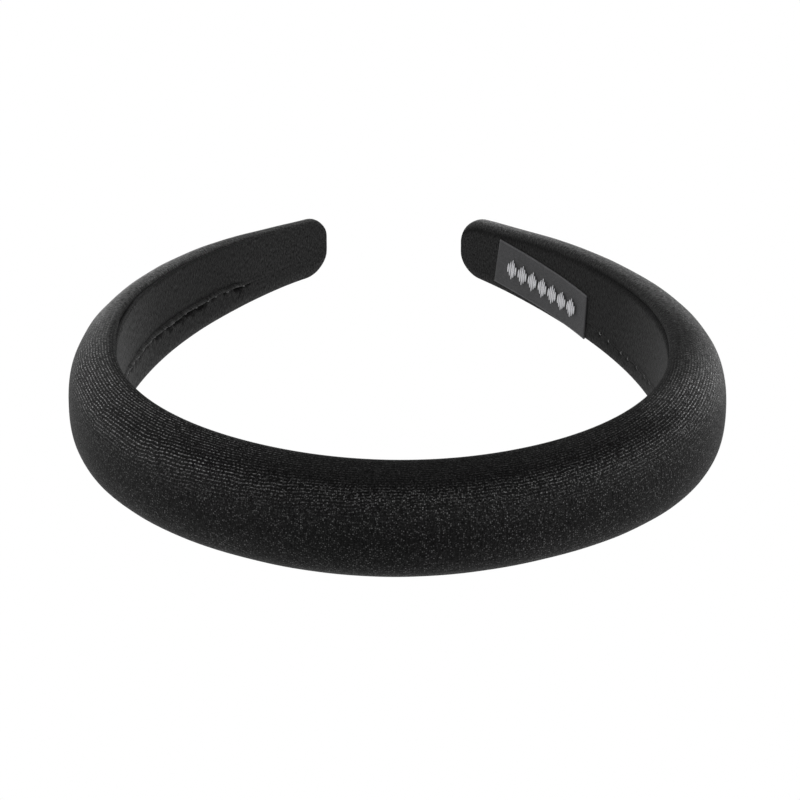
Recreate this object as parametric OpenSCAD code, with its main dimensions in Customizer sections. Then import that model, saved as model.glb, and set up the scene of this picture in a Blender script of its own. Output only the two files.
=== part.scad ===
// Padded headband: a stiff open hoop with foam on its outside, wrapped in stretch velvet.
// It lies on its lower edge. The crown faces -Y, the two tips point back to +Y and +Z runs
// across the band. Lengths are in millimetres and angles in degrees.

/* [Band] */
// Length of the inner face from tip to tip, along its middle
band_length = 380; // [350:1:420]
// Angle that each half turns through between the crown and its tip
turn_angle = 146; // [141:1:150]
// Height of the band where it is tallest
band_height = 26.2; // [24:0.1:32]
// Height of the band at its tips
tip_height = 15.5; // [14:0.1:20]
// Thickness of the padding at the middle of the crown, velvet included
crown_thickness = 20; // [15:0.5:26]
// Thickness of the band just before its tips
tip_thickness = 5.5; // [4:0.1:8]
// How far the lower edge is pressed flat where the band rests on it
rest_flat = 1.1; // [0.5:0.1:1.5]

/* [Edges] */
// Height by which the padding's two lips together stand past the hoop's rims
lips = 3; // [2:0.1:5]
// Width of the valley along each rim, where the inner face meets the padding
rim_width = 1.2; // [0.8:0.1:2]
// Depth of that valley
rim_depth = 0.5; // [0.2:0.1:1]
// Rounding of the upper corner of each tip
tip_upper_radius = 5.5; // [2:0.1:6]
// Rounding of the lower corner of each tip
tip_lower_radius = 5.8; // [3:0.1:7]
// Rounding of the padding's end at each tip, seen from above
tip_rounding = 3; // [2:0.1:5]
// Thickness left at the very end of each tip
tip_end_thickness = 2; // [1:0.1:3]

/* [Closing seam] */
// How far the folded ply stands proud of the inner face
lap_rise = 0.9; // [0.4:0.1:1.5]
// Height of the swell behind the fold
lap_width = 5; // [3:0.1:6]
// Depth of the gap under the folded edge
lap_gap = 0.5; // [0.2:0.1:0.8]
// Height of the gap under the folded edge
lap_gap_height = 0.8; // [0.5:0.1:1.2]

/* [Label] */
// Length of the ribbon label along the band
label_length = 32.5; // [20:0.5:40]
// Height of the ribbon label
label_height = 11.8; // [8:0.1:13]
// Thickness of the ribbon label
label_thickness = 0.6; // [0.4:0.1:1]
// Space between the inner face and the back of the label
label_clearance = 0.3; // [0.2:0.05:0.5]
// Distance along the inner face from the right tip to the middle of the label
label_from_tip = 27; // [24:0.5:60]
// How far the middle of the label sits below the middle of the band
label_drop = 2.8; // [1:0.1:3]
// Tilt of the label, its end near the tip held higher
label_tilt = 7.5; // [0:0.5:9]

/* [Hidden] */

// The form of the band from the left tip (-1) over the crown (0) to the right tip (1)
// Columns: place along the band, bend as a share of the mean bend,
// height from tip_height (0) to band_height (1), padding from tip_thickness (0)
// to crown_thickness (1), share of the lips that stands above the upper rim
form = [
    ["place", "bend", "height", "padding", "upper_lip"],
    [-1.0, 0.42, 0.00, 0.00, 0.25],
    [-0.8, 0.70, 0.49, 0.11, 0.25],
    [-0.6, 1.04, 0.98, 0.20, 0.25],
    [-0.4, 1.53, 1.00, 0.46, 0.25],
    [-0.2, 1.01, 0.90, 0.73, 0.40],
    [0.0, 0.97, 0.82, 1.00, 0.50],
    [0.2, 1.03, 0.90, 0.84, 0.65],
    [0.4, 1.59, 1.00, 0.65, 0.75],
    [0.6, 1.06, 1.00, 0.35, 0.75],
    [0.8, 0.60, 0.63, 0.11, 0.75],
    [1.0, 0.42, 0.00, 0.00, 0.75]
];

// The closing seam along the inner face
// Columns: place along the band, level of the fold as a share of the inner face's height,
// rise of the lap as a share of lap_rise
seam = [
    ["place", "level", "rise"],
    [-1.00, 0.30, 0.00],
    [-0.92, 0.24, 0.25],
    [-0.87, 0.28, 0.60],
    [-0.82, 0.38, 0.90],
    [-0.78, 0.35, 0.75],
    [-0.74, 0.36, 1.00],
    [-0.70, 0.42, 0.85],
    [-0.67, 0.33, 1.00],
    [-0.62, 0.24, 0.90],
    [-0.50, 0.27, 0.60],
    [-0.30, 0.24, 0.50],
    [0.00, 0.20, 0.40],
    [0.30, 0.15, 0.35],
    [0.50, 0.10, 0.25],
    [0.62, 0.08, 0.10],
    [0.70, 0.08, 0.00],
    [1.00, 0.10, 0.00]
];

// The profile of the folded ply, from where it leaves the inner face down to its edge
// Columns: height above the edge as a share of the swell, stand as a share of the rise
fold = [
    ["above", "stand"],
    [1.00, 0.0],
    [0.50, 0.6],
    [0.15, 1.0],
    [0.00, 0.7]
];

// Where the padded section is tallest, as a share of its thickness
belly = 0.23;
// Fullness of the dome, lower values being squarer
fullness = 0.74;
// How far the deepest line of the gap lies below the folded edge, as a share of its height
gap_slope = 0.1;
// Corners of the section's dome, and of each lip
dome_corners = 18;
lip_corners = 3;
// Spacing of the rings along the band, and their places near each tip
ring_spacing = 4.5;
tip_ring_shares = [0, 0.03, 0.1, 0.2, 0.35, 0.53, 0.75, 1];
// Steps of the hoop's line in each half, and of the label along its length
line_steps = 95;
label_steps = 12;

half_length = band_length / 2;
band_middle = band_height / 2 - rest_flat;

// A table's values in one column, under its heading
function values(table, heading) =
    let (column = search([heading], table[0])[0])
    [for (i = [1:len(table) - 1]) table[i][column]];

// A smooth curve through evenly spaced rows, and a straight one through uneven rows
function curve(a, b, c, d, t) =
    b + t / 2 * (c - a + t * (2 * a - 5 * b + 4 * c - d + t * (3 * (b - c) + d - a)));
function smooth(table, place, heading) =
    let (
        rows = values(table, heading),
        last = len(rows) - 1,
        at = (place + 1) / 2 * last,
        row = max(0, min(last - 1, floor(at)))
    )
    curve(rows[max(0, row - 1)], rows[row], rows[row + 1], rows[min(last, row + 2)], at - row);
function straight(table, place, heading) =
    let (places = values(table, "place"), rows = values(table, heading))
    lookup(place, [for (i = [0:len(rows) - 1]) [places[i], rows[i]]]);
function running(steps) = [
    for (i = 0, sum = 0 * steps[0]; i <= len(steps); sum = sum + steps[min(i, len(steps) - 1)], i = i + 1)
        sum
];

// The line of the inner face in plan, worked out from its bends, with the crown along +X
middle_places = [for (i = [-line_steps:line_steps - 1]) (i + 0.5) / line_steps];
turns = running([for (place = middle_places) smooth(form, place, "bend") * turn_angle / line_steps]);
headings = [for (turn = turns) turn - turns[line_steps]];
line_points = running([
    for (i = [0:2 * line_steps - 1])
        let (heading = (headings[i] + headings[i + 1]) / 2)
        half_length / line_steps * [cos(heading), sin(heading)]
]);
heading_table = [for (i = [0:2 * line_steps]) [i / line_steps - 1, headings[i]]];
x_table = [for (i = [0:2 * line_steps]) [i / line_steps - 1, line_points[i][0]]];
y_table = [for (i = [0:2 * line_steps]) [i / line_steps - 1, line_points[i][1]]];

// A point at a place along the band, so far outward from the inner face and so high up
function spot(place, outward, up) =
    let (heading = lookup(place, heading_table))
    [
        lookup(place, x_table) + outward * sin(heading),
        lookup(place, y_table) - outward * cos(heading),
        up
    ];

function height_at(place) = tip_height + (band_height - tip_height) * smooth(form, place, "height");
function thickness_at(place) =
    tip_thickness + (crown_thickness - tip_thickness) * smooth(form, place, "padding");
function rounding(distance, radius) =
    distance >= radius ? 0 : radius - sqrt(radius ^ 2 - (radius - distance) ^ 2);

// One section of the band: points given as [outward, up], round the section once
function section(place) =
    let (
        distance = (1 - abs(place)) * half_length,
        end_share = rounding(distance, tip_rounding) / tip_rounding,
        top = height_at(place) / 2 - rounding(distance, tip_upper_radius),
        bottom = height_at(place) / 2 - rounding(distance, tip_lower_radius),
        full = thickness_at(place),
        thickness = full - (full - tip_end_thickness) * end_share,
        widest = belly * thickness,
        edge_share = min(1, (top + bottom) / (2 * (lips + 2 * rim_width))),
        upper_lip = lips * edge_share * smooth(form, place, "upper_lip"),
        lower_lip = lips * edge_share - upper_lip,
        rim = rim_width * edge_share,
        valley = rim_depth * (1 - end_share),
        upper_rim = top - upper_lip,
        lower_rim = lower_lip - bottom,
        face_top = upper_rim - rim,
        face_low = lower_rim + rim,
        level = face_low + (face_top - face_low) * straight(seam, place, "level"),
        rise = lap_rise * straight(seam, place, "rise"),
        gap = lap_gap * straight(seam, place, "rise"),
        swell = min(lap_width, (face_top - level) / 2),
        gap_height = min(lap_gap_height, (level - face_low) / 2),
        above = values(fold, "above"),
        stand = values(fold, "stand"),
        lower_lip_points = [
            for (i = [0:lip_corners])
                let (a = 90 * i / lip_corners)
                [widest * (1 - cos(a)), lower_rim - lower_lip * sin(a)]
        ],
        dome = [
            for (i = [1:dome_corners - 1])
                let (a = 180 * i / dome_corners, side = a < 90 ? -bottom : top)
                [
                    widest + (thickness - widest) * sin(a) ^ fullness,
                    side * abs(cos(a)) ^ fullness
                ]
        ],
        upper_lip_points = [
            for (i = [lip_corners:-1:0])
                let (a = 90 * i / lip_corners)
                [widest * (1 - cos(a)), upper_rim + upper_lip * sin(a)]
        ],
        face = [
            [valley, upper_rim - rim / 2],
            [0, face_top],
            [0, (face_top + level + swell) / 2],
            for (i = [0:len(above) - 1]) [-stand[i] * rise, level + above[i] * swell],
            [gap, level - gap_slope * gap_height],
            [0, level - gap_height],
            [0, (level - gap_height + face_low) / 2],
            [0, face_low],
            [valley, lower_rim + rim / 2]
        ]
    )
    concat(lower_lip_points, dome, upper_lip_points, face);

// Rings stand close together at the tips and evenly between them
tip_reach = max(tip_upper_radius, tip_lower_radius);
ring_count = ceil((band_length - 2 * tip_reach) / ring_spacing);
inner_end = 1 - tip_reach / half_length;
ring_places = concat(
    [for (share = tip_ring_shares) -1 + share * tip_reach / half_length],
    [for (i = [1:ring_count - 1]) inner_end * (2 * i / ring_count - 1)],
    [for (i = [len(tip_ring_shares) - 1:-1:0]) 1 - tip_ring_shares[i] * tip_reach / half_length]
);
rings = [
    for (place = ring_places)
        [for (point = section(place)) spot(place, point[0], max(0, band_middle + point[1]))]
];
band_points = [for (ring = rings) each ring];
all_x = [for (point = band_points) point[0]];
all_y = [for (point = band_points) point[1]];
centre = [(min(all_x) + max(all_x)) / 2, (min(all_y) + max(all_y)) / 2, 0];

// A closed skin through loops that all have the same number of points, with fanned ends
function mean(loop) = [for (point = loop) 1] * loop / len(loop);
module loft(loops) {
    count = len(loops);
    size = len(loops[0]);
    last = (count - 1) * size;
    points = concat([for (loop = loops) each loop], [mean(loops[0]), mean(loops[count - 1])]);
    skin = [
        for (i = [0:count - 2])
            for (j = [0:size - 1])
                let (k = (j + 1) % size, here = i * size, next = here + size)
                each [[here + j, next + k, next + j], [here + j, here + k, next + k]]
    ];
    ends = [
        for (j = [0:size - 1])
            let (k = (j + 1) % size)
            each [[count * size, k, j], [count * size + 1, last + j, last + k]]
    ];
    polyhedron(points, concat(skin, ends));
}

module padded_band() {
    color([0.1, 0.1, 0.1])
        translate(-centre)
            loft(rings);
}

// The label is a flat ribbon that follows the inner face, turned by its tilt
module label() {
    middle_place = 1 - label_from_tip / half_length;
    back = -label_clearance;
    front = back - label_thickness;
    loops = [
        for (i = [0:label_steps])
            let (along = label_length * (i / label_steps - 0.5))
            [
                for (corner = [[back, -1], [back, 1], [front, 1], [front, -1]])
                    let (
                        across = corner[1] * label_height / 2,
                        run = along * cos(label_tilt) - across * sin(label_tilt),
                        up = along * sin(label_tilt) + across * cos(label_tilt)
                    )
                    spot(middle_place + run / half_length, corner[0], band_middle - label_drop + up)
            ]
    ];
    color([0.27, 0.27, 0.27])
        translate(-centre)
            loft(loops);
}

padded_band();
label();
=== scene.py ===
import math

import bmesh
import bpy
import numpy as np
from mathutils import Matrix, Vector, noise


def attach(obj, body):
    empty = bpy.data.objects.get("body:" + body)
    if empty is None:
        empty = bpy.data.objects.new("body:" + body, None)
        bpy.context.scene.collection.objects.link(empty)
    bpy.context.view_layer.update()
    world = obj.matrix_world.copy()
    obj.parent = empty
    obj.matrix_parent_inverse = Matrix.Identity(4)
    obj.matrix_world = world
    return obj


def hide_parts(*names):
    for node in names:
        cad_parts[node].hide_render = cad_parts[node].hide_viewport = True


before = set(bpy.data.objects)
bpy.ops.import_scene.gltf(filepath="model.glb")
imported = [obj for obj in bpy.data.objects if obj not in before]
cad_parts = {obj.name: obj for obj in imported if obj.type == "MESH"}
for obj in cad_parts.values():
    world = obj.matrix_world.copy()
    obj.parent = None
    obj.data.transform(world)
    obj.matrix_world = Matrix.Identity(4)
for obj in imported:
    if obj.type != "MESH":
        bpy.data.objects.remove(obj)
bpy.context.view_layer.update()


# The padded band
# A stiff plastic hoop with a domed strip of foam glued along its outside. One strip of black
# stretch velvet is pulled round both, and its two long edges meet on the inner face, where the
# upper one is folded over the lower one and sewn down by hand.
mm = 0.001
hoop_length = 380 * mm
half_length = hoop_length / 2
turn_angle = math.radians(146)
band_height = 26.2 * mm
tip_height = 15.5 * mm
crown_thickness = 20 * mm
tip_thickness = 5.5 * mm
tip_end_thickness = 2 * mm
rest_flat = 1.1 * mm
band_middle = band_height / 2 - rest_flat
belly = 0.23
fullness = 0.74

lips = 3 * mm
rim_width = 1.8 * mm
rim_depth = 0.9 * mm
tip_upper_radii = (4.0 * mm, 5.5 * mm)
tip_lower_radius = 5.8 * mm
tip_rounding = 3 * mm
tip_cap_bulge = 0.3 * mm

foam_lumps = 0.10 * mm
foam_lump_size = 9 * mm

lap_rise = 1.1 * mm
lap_width = 1.2 * mm
lap_gap = 1.4 * mm
lap_gap_height = 2.3 * mm
lowest_fold = 0.3 * mm

# The band's form from the left tip (-1) over the crown (0) to the right tip (1): bend as a share
# of the mean bend, height and padding from their values at the tips (0) to the fullest (1), the
# share of the padding's lips that stands above the upper rim, and lift of the middle line in mm
form_columns = ("place", "bend", "height", "padding", "upper_lip", "lift")
form_rows = (
    (-1.0, 0.35, 0.00, 0.00, 0.40, -0.7),
    (-0.8, 0.65, 0.55, 0.15, 0.25, 0.0),
    (-0.6, 1.00, 0.95, 0.25, 0.25, 0.1),
    (-0.4, 1.55, 0.95, 0.52, 0.30, 0.3),
    (-0.2, 1.00, 0.95, 0.80, 0.45, 0.2),
    (0.0, 1.00, 0.85, 1.05, 0.50, 0.4),
    (0.2, 1.05, 0.90, 0.85, 0.65, 0.3),
    (0.4, 1.60, 1.00, 0.67, 0.80, 0.2),
    (0.6, 1.00, 0.95, 0.45, 0.80, 0.2),
    (0.8, 0.55, 0.60, 0.15, 0.80, 0.4),
    (1.0, 0.40, 0.00, 0.05, 0.75, -0.1),
)
form = dict(zip(form_columns, np.array(form_rows).T))

# The closing seam: level of the fold as a share of the inner face's height, rise of the folded
# ply and depth of the gap below it as shares of their largest values
seam_columns = ("place", "level", "rise", "gap")
seam_rows = (
    (-1.00, 0.30, 0.00, 0.0),
    (-0.90, 0.22, 0.05, 0.1),
    (-0.87, 0.23, 0.20, 0.2),
    (-0.85, 0.25, 0.60, 0.8),
    (-0.84, 0.27, 0.80, 1.0),
    (-0.81, 0.32, 0.75, 0.7),
    (-0.79, 0.30, 0.80, 0.9),
    (-0.75, 0.33, 0.85, 1.0),
    (-0.70, 0.34, 1.00, 1.0),
    (-0.66, 0.35, 1.00, 1.0),
    (-0.64, 0.33, 0.90, 1.0),
    (-0.62, 0.34, 0.80, 0.8),
    (-0.59, 0.31, 0.60, 0.5),
    (-0.50, 0.28, 0.50, 0.4),
    (-0.30, 0.24, 0.50, 0.3),
    (0.00, 0.20, 0.40, 0.3),
    (0.30, 0.17, 0.35, 0.2),
    (0.50, 0.14, 0.25, 0.2),
    (0.62, 0.14, 0.12, 0.2),
    (0.69, 0.12, 0.10, 0.2),
    (0.76, 0.18, 0.05, 0.1),
    (0.82, 0.18, 0.00, 0.0),
    (1.00, 0.20, 0.00, 0.0),
)
seam = dict(zip(seam_columns, np.array(seam_rows).T))


def through(rows, at):
    """A smooth curve through evenly spaced rows, read at any step between them."""
    rows = np.concatenate([rows[:1], rows, rows[-1:]])
    at = np.asarray(at, float)
    row = np.clip(np.floor(at).astype(int), 0, len(rows) - 4)
    t = (at - row).reshape(at.shape + (1,) * (rows.ndim - 1))
    a, b, c, d = (rows[row + k] for k in range(4))
    return b + t / 2 * (c - a + t * (2 * a - 5 * b + 4 * c - d + t * (3 * (b - c) + d - a)))


def formed(column, place):
    """The band's form at a place, on a smooth curve through the rows."""
    return through(form[column], np.interp(place, form["place"], np.arange(len(form_rows))))


def sewn(column, place):
    """The closing seam at a place, on straight lines between the rows."""
    return np.interp(place, seam["place"], seam[column])


def read_table(table, at):
    """A short table of places and values, read between its rows."""
    return np.interp(at, *np.array(table).T)


# The line of the inner face in plan, summed from its bends both ways from the crown's middle
crown_middle = (-0.7 * mm, -57.7 * mm)
line_steps = 380
line_places = np.linspace(-1, 1, 2 * line_steps + 1)
bends = formed("bend", (line_places[:-1] + line_places[1:]) / 2) * turn_angle / line_steps
headings = np.concatenate([[0], np.cumsum(bends)])
headings -= headings[line_steps]
step_headings = (headings[:-1] + headings[1:]) / 2
line_x = np.concatenate([[0], np.cumsum(np.cos(step_headings))]) * half_length / line_steps
line_y = np.concatenate([[0], np.cumsum(np.sin(step_headings))]) * half_length / line_steps
line_x += crown_middle[0] - line_x[line_steps]
line_y += crown_middle[1] - line_y[line_steps]


def spot(place, outward, up):
    """A point at a place, this far outward from the inner face and up from the middle line."""
    heading = np.interp(place, line_places, headings)
    x = np.interp(place, line_places, line_x) + outward * np.sin(heading)
    y = np.interp(place, line_places, line_y) - outward * np.cos(heading)
    z = band_middle + formed("lift", place) * mm + up
    return np.stack(np.broadcast_arrays(x, y, z), axis=-1)


def rounded(distance, radius):
    """How far a rounded corner has drawn in, at a distance from the end."""
    short = max(0.0, radius - distance)
    return radius - math.sqrt(radius ** 2 - short ** 2)


def even(points, count):
    """The same run of points, spaced evenly, without its last point."""
    points = np.asarray(points, float)
    steps = np.linalg.norm(np.diff(points, axis=0), axis=1)
    along = np.concatenate([[0], np.cumsum(steps)])
    wanted = np.linspace(0, along[-1], count, endpoint=False)
    return np.stack([np.interp(wanted, along, points[:, k]) for k in range(2)], axis=1)


# Hand stitches pull the fold down every few millimetres, and the lower ply puckers below them
hand = np.random.default_rng(11)
seam_start = -0.855
seam_end = 0.735
stitch_spacing = 4.4 * mm
stitch_jitter = 0.9 * mm
stitch_count = int((seam_end - seam_start) * half_length / stitch_spacing)
stitch_places = np.linspace(seam_start, seam_end, stitch_count)
stitch_places += hand.normal(0, stitch_jitter / half_length, stitch_count)
stitch_pull_width = 1.1 * mm
fold_wobble = 0.40 * mm
fold_pull = 0.20 * mm
dimple_depth = 0.50 * mm
dimple_size = 0.50 * mm
dimple_aside = 0.70 * mm
dimple_below = mm / 3
# Depth of the puckers in mm, and how much one may be weaker or stronger than the next
pucker_depths_along = (
    (-0.93, 0.20), (-0.84, 0.18), (-0.79, 0.05), (-0.70, 0.05), (-0.65, 0.22), (-0.57, 0.20),
    (-0.50, 0.04),
)
pucker_strengths = (0.3, 1.5)
pucker_slant = 0.6
pucker_depths = read_table(pucker_depths_along, stitch_places) * mm
pucker_depths *= hand.uniform(*pucker_strengths, stitch_count)
pucker_slants = hand.uniform(-pucker_slant, pucker_slant, stitch_count)
pucker_pitch = 2.2 * mm
pucker_spread = 2.0 * mm
pucker_fade = 3.0 * mm
# Between the stitches the fold rises and its gap opens unevenly, as shares of their usual size
rise_pull = 0.3
rise_waver = 0.25
gap_pull = 0.5
gap_usual = 0.8
gap_waver = 1.2
gap_least = 0.1
gap_most = 1.3
gap_height_least = 0.2
fold_waver_length = 4 * mm
gap_waver_length = 5 * mm
# A groove runs beside the upper rim. It lies so many mm up on the lip along the left leg, below
# the lip round the crown, and at its foot along the right leg. A fainter line follows it on the
# left leg.
groove_width = rim_width / 2.5
groove_along = ((-0.92, 0.15), (-0.80, 1.0), (0.62, 1.0), (0.80, 0.3))
groove_shifts = ((-0.62, 1.3), (-0.50, -0.6), (0.35, -0.9), (0.55, 0.2))
second_line_depth = 0.28 * mm
second_line_below = 1.6 * mm
second_line_width = 0.28 * mm
second_line_along = ((-0.85, 0), (-0.70, 1), (-0.48, 1), (-0.40, 0))

# Corners of one section in their order: lower ply, lower rim, dome with both lips, upper rim,
# upper ply, and fold with its gap. Of the dome's corners the upper lip has lip_corners.
lower_ply_corners = 12
rim_corners = 8
dome_corners = 72
lip_corners = 14
upper_ply_corners = 18
fold_corners = 18
# Points that a lip and the dome are drawn with, before their corners are spaced evenly
lip_points = 12
dome_points = 181
# The fold's profile: stand as a share of the rise, height above the edge as a share of the swell
fold_profile = np.array([
    (0.00, 1.00),
    (-0.22, 0.80),
    (-0.30, 0.60),
    (0.10, 0.42),
    (0.75, 0.28),
    (1.02, 0.14),
    (0.90, 0.02),
    (0.50, -0.01),
])
# The gap's profile: depth as a share of the gap, height below the edge as a share of its height
gap_profile = np.array([(0.75, 0.12), (1.00, 0.35), (0.55, 0.70), (0.00, 1.00)])


def rims(place):
    """Top and bottom of the band at a place, the heights of its two rims, and the rims' width."""
    distance = (1 - abs(place)) * half_length
    height = tip_height + (band_height - tip_height) * formed("height", place)
    top = height / 2 - rounded(distance, np.interp(place, [-1, 1], tip_upper_radii))
    bottom = height / 2 - rounded(distance, tip_lower_radius)
    edge_share = min(1, (top + bottom) / (2 * (lips + 2 * rim_width)))
    upper_rim = top - lips * edge_share * formed("upper_lip", place)
    lower_rim = lips * edge_share * (1 - formed("upper_lip", place)) - bottom
    return top, bottom, upper_rim, lower_rim, rim_width * edge_share


# What wavers along the band reads its own row of one smooth noise, strengthened to reach 1
rise_row, gap_row, sway_row, foam_row = 0.3, 3.3, 6.3, 12.3
noise_layer = 0.7
noise_strength = 1.6


def unevenness(place, length, row):
    """A smooth random number from -1 to 1 that changes over about this length of the band."""
    return noise_strength * noise.noise(Vector((place * half_length / length, row, noise_layer)))


def fold_line(place):
    """Level of the fold, its rise, and the depth and height of the gap below it."""
    top, bottom, upper_rim, lower_rim, rim = rims(place)
    face_top, face_low = upper_rim - rim, lower_rim + rim
    nearest = np.exp(-((place - stitch_places) * half_length / stitch_pull_width) ** 2)
    pull = min(1.0, nearest.sum())
    rise_share = 1 - rise_pull * pull + rise_waver * unevenness(place, fold_waver_length, rise_row)
    rise = lap_rise * sewn("rise", place) * rise_share
    gap_share = gap_usual + gap_waver * unevenness(place, gap_waver_length, gap_row)
    gap = lap_gap * sewn("gap", place) * (1 - gap_pull * pull)
    gap *= min(gap_most, max(gap_least, gap_share))
    tall = lap_gap_height * min(1.0, max(gap_height_least, gap / lap_gap))
    sway = fold_wobble * unevenness(place, fold_waver_length, sway_row) - fold_pull * pull
    level = face_low + (face_top - face_low) * sewn("level", place) + sway * min(1, rise / mm)
    return max(level, face_low + lowest_fold), max(rise, 0), gap, tall


def with_grooves(run, place, end_share):
    """The upper lip and rim with the groove, and the second line where it shows, pressed in."""
    steps = np.gradient(run, axis=0)
    lengths = np.linalg.norm(steps, axis=1)
    into_foam = np.stack([-steps[:, 1], steps[:, 0]], axis=1) / lengths[:, None]
    before = np.cumsum(lengths)
    from_lip = before[lip_corners] - before
    from_groove = from_lip - read_table(groove_shifts, place) * mm
    depth = rim_depth * (1 - end_share) * read_table(groove_along, place)
    groove = depth * np.exp(-(from_groove / groove_width) ** 2)
    from_second = (from_groove + second_line_below) / second_line_width
    second_depth = read_table(second_line_along, place) * second_line_depth
    groove += second_depth * np.exp(-from_second ** 2)
    return run + into_foam * groove[:, None]


def with_puckers(ply, place, face_low):
    """The lower ply from the fold's foot down, with the creases and dimples of the stitches."""
    along = place * half_length
    ply = ply.copy()
    below = ply[0, 1] - ply[:, 1]
    edge_fade = np.clip((ply[:, 1] - face_low) / mm, 0, 1)
    for at, slant, depth in zip(stitch_places, pucker_slants, pucker_depths):
        apart = along - at * half_length + slant * below
        crease = np.cos(apart / pucker_pitch * 2 * math.pi)
        crease *= np.exp(-((apart / pucker_spread) ** 2)) * np.exp(-below / pucker_fade)
        ply[:, 0] -= depth * crease * edge_fade
        aside = along - at * half_length - dimple_aside
        dimple = np.exp(-(aside ** 2 + (below - dimple_below) ** 2) / dimple_size ** 2)
        ply[:, 0] += dimple_depth * dimple
    return ply


def section(place, finished):
    """One closed section of the band as [outward, up]; unfinished, it has no seam or grooves."""
    distance = (1 - abs(place)) * half_length
    end_share = rounded(distance, tip_rounding) / tip_rounding
    top, bottom, upper_rim, lower_rim, rim = rims(place)
    face_top, face_low = upper_rim - rim, lower_rim + rim
    full = tip_thickness + (crown_thickness - tip_thickness) * formed("padding", place)
    full += foam_lumps * unevenness(place, foam_lump_size, foam_row)
    thickness = full - (full - tip_end_thickness) * end_share
    widest = belly * thickness
    level, rise, gap, gap_height = fold_line(place)
    swell = min(lap_width, (face_top - level) / 2)
    gap_height = min(gap_height, (level - face_low) / 2)
    foot = level - gap_height

    corner = np.radians(np.linspace(0, 90, lip_points))
    lip_out = widest * (1 - np.cos(corner))
    lower_lip_up = lower_rim - (lower_rim + bottom) * np.sin(corner)
    upper_lip_up = upper_rim + (top - upper_rim) * np.sin(corner)
    lower_lip = np.stack([lip_out, lower_lip_up], axis=1)
    upper_lip = np.stack([lip_out, upper_lip_up], axis=1)[::-1]
    turn = np.radians(np.linspace(0, 180, dome_points))[1:-1]
    side = np.where(turn < math.pi / 2, -bottom, top)
    dome_out = widest + (thickness - widest) * np.sin(turn) ** fullness
    dome = np.stack([dome_out, side * np.abs(np.cos(turn)) ** fullness], axis=1)
    outside = even(np.concatenate([lower_lip, dome]), dome_corners - lip_corners)
    lower_rim_run = np.linspace((0, face_low), (0, lower_rim), rim_corners, endpoint=False)
    upper_rim_run = np.linspace((0, upper_rim), (0, face_top), rim_corners, endpoint=False)
    rim_run = np.concatenate([even(upper_lip, lip_corners), upper_rim_run])
    lower_ply = np.linspace((0, foot), (0, face_low), lower_ply_corners, endpoint=False)
    upper_ply = np.linspace((0, face_top), (0, level + swell), upper_ply_corners, endpoint=False)
    if finished:
        rim_run = with_grooves(rim_run, place, end_share)
        lower_ply = with_puckers(lower_ply, place, face_low)
    else:
        rise = gap = 0
    controls = np.concatenate([
        np.stack([-rise * fold_profile[:, 0], level + swell * fold_profile[:, 1]], axis=1),
        np.stack([gap * gap_profile[:, 0], level - gap_height * gap_profile[:, 1]], axis=1),
    ])
    controls[-1] = lower_ply[0]
    fold = through(controls, np.linspace(0, len(controls) - 1, fold_corners + 1))
    return np.concatenate([lower_ply, lower_rim_run, outside, rim_run, upper_ply, fold])


# Rings stand closest at the tips and along the legs, where the stitches and puckers show
tip_reach = max(*tip_upper_radii, tip_lower_radius)
tip_rings = 10
cap_shares = (0.0, 0.4, 0.75)
ring_closeness = ((-1, 2.2), (-0.46, 2.2), (-0.40, 1.0), (0.55, 1.0), (0.60, 1.5), (1, 1.5))
closeness_steps = 2000
middle_rings = 386


def ring_places():
    """Places of the rings: bunched towards the end of each tip, and spread by closeness between."""
    fine = np.linspace(-1, 1, closeness_steps + 1)
    closeness = read_table(ring_closeness, fine)
    total = np.concatenate([[0], np.cumsum((closeness[1:] + closeness[:-1]) / 2)])
    wanted = np.linspace(0, total[-1], middle_rings + 1)
    middle = np.interp(wanted, total, fine) * (1 - tip_reach / half_length)
    turn = np.linspace(0, math.pi / 2, tip_rings, endpoint=False)
    tip = tip_reach * (1 - np.cos(turn)) / half_length
    return np.concatenate([tip - 1, middle, (1 - tip)[::-1]])


places = ring_places()


def wrap(finished):
    """Every point of the wrapped strip, ring by ring, with each tip's cap drawn to a point."""
    sections = [section(place, finished) for place in places]
    rings = [spot(place, s[:, 0], s[:, 1]) for place, s in zip(places, sections)]
    caps = []
    for ring, nearer in ((rings[0], rings[1]), (rings[-1], rings[-2])):
        leaving = ring.mean(axis=0) - nearer.mean(axis=0)
        leaving /= np.linalg.norm(leaving)
        middle = ring.mean(axis=0)
        caps.append([
            middle + (ring - middle) * share + leaving * tip_cap_bulge * (1 - share ** 2)
            for share in cap_shares
        ])
    return np.array(caps[0] + rings + caps[1][::-1])


plain = wrap(finished=False)
rings, corners = plain.shape[:2]
join_distance = 0.0005 * mm


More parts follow.
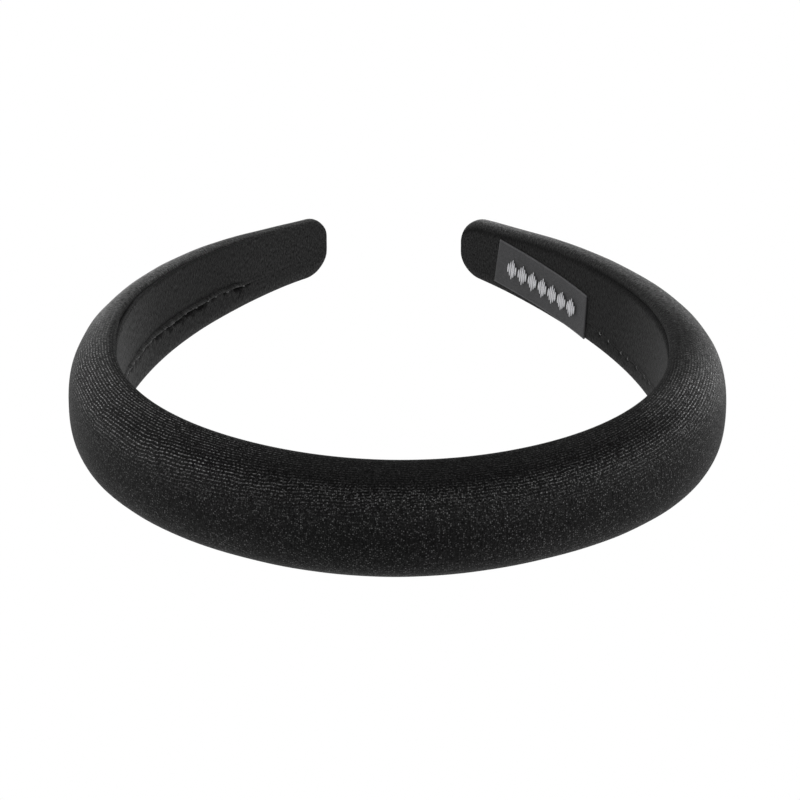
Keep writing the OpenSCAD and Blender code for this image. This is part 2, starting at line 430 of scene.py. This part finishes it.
def sew_tube(points, cut=None):
    """A flat strip of cloth with a cell between each four points, wrapped to them and closed.

    cut gives each point its place on the flat strip, how light its colour is painted for the pile's
    sheen and shade, how much the ground shows through it, and how far that ground shows as rows.
    """
    rows, columns = points.shape[:2]
    cloth = bmesh.new()
    ring_layer = cloth.verts.layers.int.new("ring")
    corner_layer = cloth.verts.layers.int.new("corner")
    looks = [cloth.verts.layers.float.new(name) for name in ("painted_sheen_shade", "ground", "in_rows")]
    flat_layer = cloth.loops.layers.uv.new("velvet")
    bmesh.ops.create_grid(cloth, x_segments=columns - 1, y_segments=rows - 1, size=0.5)
    for vert in cloth.verts:
        vert[corner_layer] = round((vert.co.x + 0.5) * (columns - 1))
        vert[ring_layer] = round((vert.co.y + 0.5) * (rows - 1))
        vert.co = points[vert[ring_layer], vert[corner_layer]]
    if cut is not None:
        for vert in cloth.verts:
            along, around, *shown = cut[vert[ring_layer], vert[corner_layer]]
            for layer, value in zip(looks, shown):
                vert[layer] = value
            for loop in vert.link_loops:
                loop[flat_layer].uv = (along, around)
    bmesh.ops.remove_doubles(cloth, verts=cloth.verts, dist=join_distance)
    bmesh.ops.recalc_face_normals(cloth, faces=cloth.faces)
    return cloth


def finished_object(shape, name):
    """A smooth object of that name at the origin, made of a bmesh that is then done with."""
    mesh = bpy.data.meshes.new(name)
    shape.to_mesh(mesh)
    shape.free()
    mesh.polygons.foreach_set("use_smooth", [True] * len(mesh.polygons))
    made = bpy.data.objects.new(name, mesh)
    bpy.context.scene.collection.objects.link(made)
    return made


# The velvet swells over the foam between the rims, where it is glued to the hoop. The cloth is
# worked at twenty times its size, where a pressure of 4 moves it as it does on a large cushion.
swell_cap = 0.4 * mm
swell_pressure = 4.0
swell_scale = 20
cloth_frames = 20
cloth_quality = 6
ring_skip = 6
corner_skip = 4
tip_rings_glued = 3
shortest_move = 1e-9


def swelling():
    """How far each point of a coarse strip moves when the velvet is stretched over the foam."""
    coarse = plain[::ring_skip, ::corner_skip]
    strip = finished_object(sew_tube(coarse * swell_scale), "swelling_cloth")
    mesh = strip.data
    count = len(mesh.vertices)
    ring_of = np.zeros(count, int)
    corner_of = np.zeros(count, int)
    mesh.attributes["ring"].data.foreach_get("value", ring_of)
    mesh.attributes["corner"].data.foreach_get("value", corner_of)
    first_dome = (lower_ply_corners + rim_corners) // corner_skip
    last_dome = (lower_ply_corners + rim_corners + dome_corners) // corner_skip
    on_face = (corner_of <= first_dome) | (corner_of >= last_dome)
    on_tip = (ring_of < tip_rings_glued) | (ring_of >= coarse.shape[0] - tip_rings_glued)
    glued = strip.vertex_groups.new(name="glued")
    glued.add([int(i) for i in np.flatnonzero(on_face | on_tip)], 1.0, "REPLACE")
    start = np.zeros(count * 3)
    mesh.vertices.foreach_get("co", start)
    settings = strip.modifiers.new("velvet", "CLOTH").settings
    settings.quality = cloth_quality
    settings.use_pressure = True
    settings.uniform_pressure_force = swell_pressure
    settings.effector_weights.gravity = 0
    settings.vertex_group_mass = "glued"
    for number in range(1, cloth_frames + 1):
        bpy.context.scene.frame_set(number)
    swollen = strip.evaluated_get(bpy.context.evaluated_depsgraph_get())
    end = np.zeros(count * 3)
    swollen.data.vertices.foreach_get("co", end)
    bpy.context.scene.frame_set(1)
    bpy.data.objects.remove(strip)
    moved = (end - start).reshape(-1, 3) / swell_scale
    length = np.maximum(np.linalg.norm(moved, axis=1, keepdims=True), shortest_move)
    moved *= swell_cap * np.tanh(length / swell_cap) / length
    grid = np.zeros(coarse.shape)
    grid[ring_of, corner_of] = moved
    grid[:, -1] = grid[:, 0]
    return grid


velvet_points = wrap(finished=True)
pushed = velvet_points - plain
by_ring = through(swelling(), np.arange(rings) / ring_skip)
by_corner = through(by_ring.swapaxes(0, 1), np.arange(corners) / corner_skip)
velvet_points += by_corner.swapaxes(0, 1)
velvet_points[:, :, 2] = np.maximum(0, velvet_points[:, :, 2])

# How light the velvet's colour is painted, in thousandths. It is painted sheen and painted shade
# standing in for the light on the
# pile: along the inner face, round the dome on the legs, painted lighter on their upper outer side
# as sheen, and at the crown, painted darker on its top as shade. The tables named along run over
# the places of the band, and the others over the corners of a section.
face_painted_light_along = (
    (-0.90, 16), (-0.80, 13), (-0.68, 15), (-0.55, 30), (-0.40, 14), (0, 8), (0.45, 12),
    (0.55, 20), (0.70, 11), (1, 16),
)
legs_painted_light = ((20, 24), (41, 20), (58, 25), (65, 65), (70, 96), (75, 82), (80, 34), (84, 20))
crown_painted_light = ((20, 30), (41, 22), (53, 14), (65, 23), (70, 4), (80, 7), (84, 9))
legs_share_along = (
    (-0.60, 1), (-0.45, 0.42), (-0.30, 0.10), (-0.10, 0), (0.10, 0), (0.30, 0.04), (0.45, 0.70),
    (0.60, 1),
)
face_share = ((12, 1), (20, 0), (84, 0), (90, 1))
# Towards the tips a painted sheen runs along the upper edge, with painted shade below it
edge_painted_sheen_along = (
    (-1, 0.7), (-0.85, 0.8), (-0.73, 2.0), (-0.60, 0.8), (-0.52, 0), (0.62, 0), (0.80, 0.7),
    (0.95, 1.2),
)
edge_painted_sheen = ((56, 0), (62, -0.3), (68, -0.3), (73, 1), (80, 1), (86, 0.2))
# By how many corners the painted sheen and shade lie further out
painted_light_shifts_along = (
    (-0.62, 3.9), (-0.50, -1.8), (0.35, -2.7), (0.43, 3.5), (0.52, 5.5), (0.62, 1.0),
)
# Where the velvet is stretched over the foam its ground shows through the pile
stretched_along = (
    (-0.60, 0.2), (-0.50, 0.3), (-0.30, 0.9), (0, 1), (0.30, 0.95), (0.42, 0.65), (0.50, 0.4),
    (0.60, 0.2),
)
stretched_round = ((18, 0), (30, 0.6), (60, 0.65), (68, 1), (76, 0.8), (86, 0.6), (95, 0))
# The ground shows as rows of loops on the shoulders, and as loose flecks elsewhere
loops_along = (
    (-0.60, 0), (-0.45, 1), (-0.20, 1), (-0.05, 0.35), (0.08, 0.3), (0.22, 0.6), (0.40, 0.55),
    (0.54, 0),
)
loops_round = ((56, 0.05), (69, 1.0))
# The rows stand wider apart where the strip is pulled harder, and slant on the right by some mm
row_widths_along = (
    (-0.50, 0.93), (-0.40, 1.0), (-0.30, 1.14), (-0.05, 1.10), (0.15, 1.0), (0.35, 0.91),
    (0.50, 0.77),
)
row_shifts_along = ((0.15, 0), (0.60, -8))
full_width_place = -0.45
# Where the cloth is pushed into a crease its colour is painted darker as shade, and where it stands
# out it is painted lighter as a highlight
crease_shade_depth = 0.45 * mm
ridge_painted_highlight = 1.6 / mm


def along_band(table):
    """A table of places, read at every ring, as a column."""
    return read_table(table, all_places)[:, None]


dome_end = lower_ply_corners + rim_corners + dome_corners
steps = np.linalg.norm(np.diff(plain, axis=1), axis=2)
around = np.concatenate([np.zeros((rings, 1)), np.cumsum(steps, axis=1)], axis=1)
round_trip = around[:, -1:]
around -= around[:, dome_end:dome_end + 1]
all_places = np.concatenate([[-1.0] * len(cap_shares), places, [1.0] * len(cap_shares)])
corner_numbers = np.arange(corners)

all_headings = np.interp(all_places, line_places, headings)[:, None]
pushed_in = pushed[:, :, 0] * np.sin(all_headings) - pushed[:, :, 1] * np.cos(all_headings)
# Painted shade in the creases and painted highlight on the ridges
crease_painted_shade = np.exp(-np.maximum(pushed_in, 0) / crease_shade_depth)
folds_painted_shade_and_highlight = np.where(pushed_in > 0, crease_painted_shade, 1 - ridge_painted_highlight * pushed_in)
from_rim = corner_numbers + along_band(painted_light_shifts_along)
on_legs = along_band(legs_share_along)
# The dome is painted with the legs' sheen and the crown's shade, blended along the band
dome_painted_light = on_legs * read_table(legs_painted_light, from_rim)
dome_painted_light += (1 - on_legs) * read_table(crown_painted_light, corner_numbers)
# The painted sheen along the upper edge towards the tips, with painted shade below it
dome_painted_light *= 1 + along_band(edge_painted_sheen_along) * read_table(edge_painted_sheen, from_rim)
on_face = read_table(face_share, corner_numbers)
# Painted sheen and shade over the whole cover, from the inner face's and the dome's tables
painted_pile_light = on_face * along_band(face_painted_light_along) + (1 - on_face) * dome_painted_light
# The painted sheen and shade, with the creases' painted shade and the ridges' painted highlight,
# for every point
painted_sheen_shade = painted_pile_light / 1000 * folds_painted_shade_and_highlight
ground = along_band(stretched_along) * read_table(stretched_round, corner_numbers)
in_rows = along_band(loops_along) * read_table(loops_round, corner_numbers)
# The same number of loops goes round everywhere, so the rows are widest where the band is fullest
middle_trips = round_trip[len(cap_shares):-len(cap_shares), 0]
row_stretch = np.interp(full_width_place, places, middle_trips) / np.maximum(round_trip, mm)
row_stretch /= along_band(row_widths_along)
flat_around = around * row_stretch + along_band(row_shifts_along) * mm
flat_along = all_places[:, None] * half_length
cut = np.stack(np.broadcast_arrays(flat_along, flat_around, painted_sheen_shade, ground, in_rows), axis=-1)

padded_band = finished_object(sew_tube(velvet_points, cut), "velvet_cover")
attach(padded_band, "root")
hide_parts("padded_band")


def node(material, kind, inputs, **settings):
    """Adds one shader node; each input is a plain value or another node's output."""
    tree = material.node_tree
    added = tree.nodes.new(kind)
    for name, value in settings.items():
        setattr(added, name, value)
    for name, value in inputs.items():
        if isinstance(value, bpy.types.NodeSocket):
            tree.links.new(value, added.inputs[name])
        else:
            added.inputs[name].default_value = value
    return added


def math_node(material, operation, *values):
    """One sum on plain values or other nodes' outputs."""
    inputs = dict(enumerate(values))
    return node(material, "ShaderNodeMath", inputs, operation=operation).outputs[0]


def scaled(material, value, gain, offset):
    """A value times a gain, with an offset added."""
    return math_node(material, "MULTIPLY_ADD", value, gain, offset)


def clamped(material, value):
    """A value kept between 0 and 1."""
    return node(material, "ShaderNodeClamp", {"Value": value}).outputs[0]


def wave(material, position, pitch):
    """A cosine of the given pitch along a measure of the cloth."""
    return math_node(material, "COSINE", scaled(material, position, 2 * math.pi / pitch, 0.0))


def drawn_out(material, position, shares):
    """A position on the cloth; a pattern read there is drawn out along the smaller shares."""
    return node(material, "ShaderNodeVectorMath", {
        0: position, 1: shares,
    }, operation="MULTIPLY").outputs["Vector"]


def speckle(material, position, size, detail=0.0):
    """Fine noise of about that size."""
    return node(material, "ShaderNodeTexNoise", {
        "Vector": position, "Scale": 1 / size, "Detail": detail, "Roughness": 0.6,
    }).outputs["Fac"]


def blended(material, share, low, high):
    """A colour between two plain ones."""
    return node(material, "ShaderNodeMix", {
        "Factor": share, "A": (*low, 1), "B": (*high, 1),
    }, data_type="RGBA").outputs["Result"]


row_pitch = 0.74 * mm
row_drift = 0.3 * mm
row_drift_size = 8 * mm
loop_pitch = 0.92 * mm
loop_sway = 1.5 * mm
loop_sway_size = 0.9 * mm
loop_sway_shares = (0.2, 1.0, 1.0)
grain_size = 0.45 * mm
tuft_size = 0.42 * mm
tuft_rarity = 2.4
streak_size = 0.35 * mm
streak_shares = (1.0, 0.25, 1.0)
relief = 0.10 * mm
# Contrast of each pattern: how many times it is strengthened, and what is then added
row_contrast = (1.3, -0.3)
loop_contrast = (0.38, 0.62)
grain_contrast = (6.0, -2.6)
knit_contrast = (18.0, 0.02)
tuft_contrast = (-2.2, 1.1)
fleck_contrast = (14.0, 0.12)
streak_contrast = (4.0, -1.0)
darkest = 0.0004
brightest = 0.45

velvet = bpy.data.materials.new("black_stretch_velvet")
velvet.use_nodes = True
flat = node(velvet, "ShaderNodeUVMap", {}, uv_map="velvet").outputs["UV"]
own = node(velvet, "ShaderNodeTexCoord", {}).outputs["Object"]
painted_sheen_shade_shown, ground_shown, rows_shown = (
    node(velvet, "ShaderNodeAttribute", {}, attribute_name=name).outputs["Fac"]
    for name in ("painted_sheen_shade", "ground", "in_rows")
)
flat_split = node(velvet, "ShaderNodeSeparateXYZ", {"Vector": flat})

# Knit rows that drift a little, each row with its own loops along it
drift = speckle(velvet, own, row_drift_size)
row_measure = scaled(velvet, drift, row_drift, flat_split.outputs["Y"])
row_light = clamped(velvet, scaled(velvet, wave(velvet, row_measure, row_pitch), *row_contrast))
row_by_row = drawn_out(velvet, flat, loop_sway_shares)
sideways = speckle(velvet, row_by_row, loop_sway_size)
loop_measure = scaled(velvet, sideways, loop_sway, flat_split.outputs["X"])
loop_light = scaled(velvet, wave(velvet, loop_measure, loop_pitch), *loop_contrast)
grain = speckle(velvet, own, grain_size, 1.0)
grain = clamped(velvet, scaled(velvet, grain, *grain_contrast))
loops = math_node(velvet, "MULTIPLY", row_light, loop_light)
loops = math_node(velvet, "MULTIPLY", loops, grain)
knit_look = scaled(velvet, loops, *knit_contrast)

# Pile with a few bright flecks on the outside, and fine upright streaks on the inner face
tuft = node(velvet, "ShaderNodeTexVoronoi", {"Vector": own, "Scale": 1 / tuft_size})
tuft_split = node(velvet, "ShaderNodeSeparateXYZ", {"Vector": tuft.outputs["Color"]})
tuft_bright = math_node(velvet, "POWER", tuft_split.outputs["X"], tuft_rarity)
tuft_dot = clamped(velvet, scaled(velvet, tuft.outputs["Distance"], *tuft_contrast))
flecks = math_node(velvet, "MULTIPLY", tuft_dot, tuft_bright)
fleck_look = scaled(velvet, flecks, *fleck_contrast)
streaks = speckle(velvet, drawn_out(velvet, flat, streak_shares), streak_size, 2.0)
streak_look = scaled(velvet, streaks, *streak_contrast)

ground_look = node(velvet, "ShaderNodeMix", {"Factor": rows_shown, "A": fleck_look, "B": knit_look})
look = node(velvet, "ShaderNodeMix", {
    "Factor": ground_shown, "A": streak_look, "B": ground_look.outputs["Result"],
}).outputs["Result"]
# The velvet's colour is its pattern times the painted sheen and shade
share = math_node(velvet, "MULTIPLY", look, painted_sheen_shade_shown)
share = clamped(velvet, math_node(velvet, "MULTIPLY", share, 1 / brightest))
velvet_colour = blended(velvet, share, (darkest,) * 3, (brightest,) * 3)
loop_height = math_node(velvet, "MULTIPLY", loops, ground_shown)
height = math_node(velvet, "ADD", loop_height, grain)
bump = node(velvet, "ShaderNodeBump", {"Height": height, "Distance": relief, "Strength": 1.0})
shader = velvet.node_tree.nodes["Principled BSDF"]
velvet.node_tree.links.new(velvet_colour, shader.inputs["Base Color"])
velvet.node_tree.links.new(bump.outputs["Normal"], shader.inputs["Normal"])
shader.inputs["Roughness"].default_value = 0.55
shader.inputs["Specular IOR Level"].default_value = 0.03
shader.inputs["Sheen Weight"].default_value = 0.005
shader.inputs["Sheen Roughness"].default_value = 0.35
padded_band.data.materials.append(velvet)


# The closing stitches
# Short whip stitches of black thread, sewn by hand over the folded edge. Along the right leg the
# fold runs out and only small tacks near the lower edge show.
thread_radius = 0.16 * mm
stitch_reach = 0.32 * mm
stitch_stand = 0.16 * mm
stitch_over_fold = 0.4
stitch_drop = 0.1 * mm
stitch_slants = (-0.3, 1.2)
thread_sides = 6
stitch_steps = 7

threads = bmesh.new()
for at in stitch_places:
    level, rise = fold_line(at)[:2]
    sewn_before = len(threads.verts)
    start = bmesh.ops.create_circle(threads, segments=thread_sides, radius=thread_radius)["verts"]
    bmesh.ops.rotate(threads, verts=start, matrix=Matrix.Rotation(math.pi / 2, 3, "X"))
    bmesh.ops.translate(threads, verts=start, vec=(0, 0, stitch_reach))
    ring = list({edge for vert in start for edge in vert.link_edges})
    bmesh.ops.spin(
        threads, geom=start + ring, cent=(0, 0, 0), axis=(1, 0, 0), angle=-math.pi,
        steps=stitch_steps, use_merge=False,
    )
    slant = Matrix.Rotation(hand.uniform(*stitch_slants), 4, "Y")
    stand = rise * stitch_over_fold + stitch_stand
    squash = Matrix.Diagonal((1, stand / stitch_reach, 1, 1))
    turn = Matrix.Rotation(np.interp(at, line_places, headings), 4, "Z")
    to_fold = Matrix.Translation(Vector(spot(at, 0, level - stitch_drop)))
    threads.verts.ensure_lookup_table()
    bmesh.ops.transform(
        threads, verts=threads.verts[sewn_before:], matrix=to_fold @ turn @ squash @ slant,
    )
bmesh.ops.holes_fill(threads, edges=threads.edges, sides=thread_sides)
bmesh.ops.recalc_face_normals(threads, faces=threads.faces)
stitches = finished_object(threads, "closing_stitches")
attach(stitches, "root")

thread_twist = 900.0
twist_unevenness = 2.0
twist_relief = 0.05 * mm
thread_dark = (0.03, 0.03, 0.03)
thread_light = (0.13, 0.13, 0.13)

thread = bpy.data.materials.new("black_sewing_thread")
thread.use_nodes = True
own = node(thread, "ShaderNodeTexCoord", {}).outputs["Object"]
twist = node(thread, "ShaderNodeTexWave", {
    "Vector": own, "Scale": thread_twist, "Distortion": twist_unevenness,
}, bands_direction="DIAGONAL").outputs["Fac"]
bump = node(thread, "ShaderNodeBump", {"Height": twist, "Distance": twist_relief, "Strength": 1.0})
shader = thread.node_tree.nodes["Principled BSDF"]
colour = blended(thread, twist, thread_dark, thread_light)
thread.node_tree.links.new(colour, shader.inputs["Base Color"])
thread.node_tree.links.new(bump.outputs["Normal"], shader.inputs["Normal"])
shader.inputs["Roughness"].default_value = 0.5
stitches.data.materials.append(thread)


# The label
# A short piece of dark grey woven ribbon with firm selvedges, cut a little askew at one end and
# glued to the inner face near the right tip, out of line with the band.
label_length = 32.6 * mm
label_height = 12.4 * mm
label_from_tip = 28.3 * mm
label_drop = 2.6 * mm
label_tilt = math.radians(8.2)
label_askew = 0.07
label_off = 0.30 * mm
ribbon_thickness = 0.40 * mm
ribbon_wave = 0.10 * mm
# How fast the waviness changes along and across the ribbon, for each metre, and its noise's layer
waves_along = 130
waves_across = 60
wave_layer = 4.2
ribbon_across = 24
ribbon_along = 66
label_place = 1 - label_from_tip / half_length


def on_label(along, across, off):
    """A point of the label, from its middle, so far off the inner face."""
    run = along * math.cos(label_tilt) - across * math.sin(label_tilt)
    rise = along * math.sin(label_tilt) + across * math.cos(label_tilt)
    return spot(label_place + run / half_length, -off, rise - label_drop)


ribbon = bmesh.new()
flat_layer = ribbon.loops.layers.uv.new("ribbon")
bmesh.ops.create_grid(ribbon, x_segments=ribbon_along, y_segments=ribbon_across, size=0.5)
for vert in ribbon.verts:
    across = vert.co.y * label_height
    along = vert.co.x * label_length + across * label_askew * (0.5 - vert.co.x)
    for loop in vert.link_loops:
        loop[flat_layer].uv = (along, across)
    waving = noise.noise(Vector((along * waves_along, across * waves_across, wave_layer)))
    vert.co = on_label(along, across, label_off + waving * ribbon_wave)
bmesh.ops.recalc_face_normals(ribbon, faces=ribbon.faces)
bmesh.ops.solidify(ribbon, geom=ribbon.faces[:], thickness=ribbon_thickness)
bmesh.ops.recalc_face_normals(ribbon, faces=ribbon.faces)
label = finished_object(ribbon, "label_ribbon")
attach(label, "root")
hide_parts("label")

warp_pitch = 0.25 * mm
weft_pitch = 0.30 * mm
slub_size = 0.5 * mm
slub_height = 1.5
weave_relief = 0.03 * mm
selvedge_width = 0.5 * mm
# What the slubs, the weave and the selvedges add to how light the ribbon is; the lighter selvedges
# are a painted highlight
slub_contrast = (0.6, 0.08)
weave_light = 0.12
selvedge_painted_highlight = 0.7
ribbon_dark = (0.008, 0.008, 0.0086)
ribbon_light = (0.075, 0.075, 0.078)

ribbon_grey = bpy.data.materials.new("grey_woven_ribbon")
ribbon_grey.use_nodes = True
flat = node(ribbon_grey, "ShaderNodeUVMap", {}, uv_map="ribbon").outputs["UV"]
own = node(ribbon_grey, "ShaderNodeTexCoord", {}).outputs["Object"]
flat_split = node(ribbon_grey, "ShaderNodeSeparateXYZ", {"Vector": flat})
warp = wave(ribbon_grey, flat_split.outputs["Y"], warp_pitch)
weft = wave(ribbon_grey, flat_split.outputs["X"], weft_pitch)
weave = math_node(ribbon_grey, "MULTIPLY", warp, weft)
slub = speckle(ribbon_grey, own, slub_size, 2.0)
weave_height = scaled(ribbon_grey, slub, slub_height, weave)
bump = node(ribbon_grey, "ShaderNodeBump", {"Height": weave_height, "Distance": weave_relief})
from_middle = math_node(ribbon_grey, "ABSOLUTE", flat_split.outputs["Y"])
selvedge_start = label_height / 2 - selvedge_width
selvedge = scaled(ribbon_grey, from_middle, 1 / selvedge_width, -selvedge_start / selvedge_width)
selvedge = clamped(ribbon_grey, selvedge)
shade = scaled(ribbon_grey, weave, weave_light, scaled(ribbon_grey, slub, *slub_contrast))
# Both long edges are painted lighter, a painted highlight where the ribbon's edge catches the light
shade = clamped(ribbon_grey, scaled(ribbon_grey, selvedge, selvedge_painted_highlight, shade))
colour = blended(ribbon_grey, shade, ribbon_dark, ribbon_light)
shader = ribbon_grey.node_tree.nodes["Principled BSDF"]
ribbon_grey.node_tree.links.new(colour, shader.inputs["Base Color"])
ribbon_grey.node_tree.links.new(bump.outputs["Normal"], shader.inputs["Normal"])
shader.inputs["Roughness"].default_value = 0.6
shader.inputs["Specular IOR Level"].default_value = 0.25
label.data.materials.append(ribbon_grey)


# The label's woven motif
# A plain row of lozenges, each of short bars of pale yarn that lie on the dark ribbon.
lozenge_count = 7
lozenge_pitch = 3.6 * mm
bar_pitch = 0.62 * mm
bar_heights = (2.6 * mm, 4.4 * mm, 5.8 * mm, 4.4 * mm, 2.6 * mm)
bar_width = 0.58 * mm
bar_stand = 0.14 * mm
bar_jitter = 0.02 * mm
bar_unevenness = 0.15 * mm
bead_sides = 8

yarn = bmesh.new()
for lozenge in range(lozenge_count):
    for bar, tall in enumerate(bar_heights):
        along = (lozenge - (lozenge_count - 1) / 2) * lozenge_pitch
        along += (bar - (len(bar_heights) - 1) / 2) * bar_pitch + hand.normal(0, bar_jitter)
        tall += hand.uniform(-bar_unevenness, bar_unevenness)
        bead = bmesh.ops.create_uvsphere(
            yarn, u_segments=bead_sides, v_segments=bead_sides, radius=0.5,
        )["verts"]
        for vert in bead:
            off = label_off + ribbon_thickness + vert.co.y * bar_stand * 2
            vert.co = on_label(along + vert.co.x * bar_width, vert.co.z * tall, off)
motif = finished_object(yarn, "label_motif")
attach(motif, "root")

fibre_size = 0.2 * mm
fibre_relief = 0.05 * mm
yarn_dark = (0.30, 0.30, 0.31)
yarn_light = (0.60, 0.60, 0.62)

pale_yarn = bpy.data.materials.new("pale_grey_yarn")
pale_yarn.use_nodes = True
own = node(pale_yarn, "ShaderNodeTexCoord", {}).outputs["Object"]
fibre = speckle(pale_yarn, own, fibre_size, 2.0)
bump = node(pale_yarn, "ShaderNodeBump", {"Height": fibre, "Distance": fibre_relief})
shader = pale_yarn.node_tree.nodes["Principled BSDF"]
colour = blended(pale_yarn, fibre, yarn_dark, yarn_light)
pale_yarn.node_tree.links.new(colour, shader.inputs["Base Color"])
pale_yarn.node_tree.links.new(bump.outputs["Normal"], shader.inputs["Normal"])
shader.inputs["Roughness"].default_value = 0.7
motif.data.materials.append(pale_yarn)


# Floor, light and camera
# A white table top lit evenly all over, with soft lamps low at both sides and behind, and two
# weak ones in front.
floor_half = 3.0
floor_bm = bmesh.new()
bmesh.ops.create_grid(floor_bm, x_segments=1, y_segments=1, size=floor_half)
floor = finished_object(floor_bm, "floor")
white = bpy.data.materials.new("white_floor")
white.use_nodes = True
floor_shader = white.node_tree.nodes["Principled BSDF"]
floor_shader.inputs["Base Color"].default_value = (0, 0, 0, 1)
floor_shader.inputs["Specular IOR Level"].default_value = 0
floor_shader.inputs["Emission Color"].default_value = (1, 1, 1, 1)
floor_shader.inputs["Emission Strength"].default_value = 1.0
floor.data.materials.append(white)

world = bpy.data.worlds.new("studio")
world.use_nodes = True
background = world.node_tree.nodes["Background"]
background.inputs["Color"].default_value = (1, 1, 1, 1)
background.inputs["Strength"].default_value = 0.02
bpy.context.scene.world = world


def facing(azimuth, elevation):
    """The way towards a lamp or camera, turned from the front and raised by so many degrees."""
    azimuth, elevation = math.radians(azimuth), math.radians(elevation)
    return Vector((
        math.sin(azimuth) * math.cos(elevation),
        -math.cos(azimuth) * math.cos(elevation),
        math.sin(elevation),
    ))


lamp_distance = 0.9
# Name, degrees round from the front, degrees up, width, height, watts
lamps = (
    ("front_top", 0, 50, 0.6, 0.4, 1.2),
    ("front_low", 0, 20, 0.6, 0.3, 1.1),
    ("left", -90, 25, 0.5, 0.5, 6.0),
    ("right", 90, 25, 0.5, 0.5, 8.5),
    ("back_left", -135, 30, 0.5, 0.5, 4.5),
    ("back_right", 135, 30, 0.5, 0.5, 3.0),
)
for name, azimuth, elevation, width, tall, watts in lamps:
    lamp_data = bpy.data.lights.new(name, "AREA")
    lamp_data.shape = "RECTANGLE"
    lamp_data.size = width
    lamp_data.size_y = tall
    lamp_data.energy = watts
    lamp = bpy.data.objects.new(name, lamp_data)
    away = facing(azimuth, elevation)
    lamp.location = away * lamp_distance
    lamp.rotation_euler = away.to_track_quat("Z", "Y").to_euler()
    bpy.context.scene.collection.objects.link(lamp)

camera_distance = 0.97
camera_azimuth = 1.3
camera_elevation = 28.6
camera_target = Vector((0.2 * mm, 4.5 * mm, 5.0 * mm))
camera_data = bpy.data.cameras.new("camera")
camera_data.sensor_width = 36
camera_data.lens = 180
camera = bpy.data.objects.new("camera", camera_data)
away = facing(camera_azimuth, camera_elevation)
camera.location = camera_target + away * camera_distance
camera.rotation_euler = away.to_track_quat("Z", "Y").to_euler()
bpy.context.scene.collection.objects.link(camera)
bpy.context.scene.camera = camera
bpy.context.scene.view_settings.view_transform = "Standard"
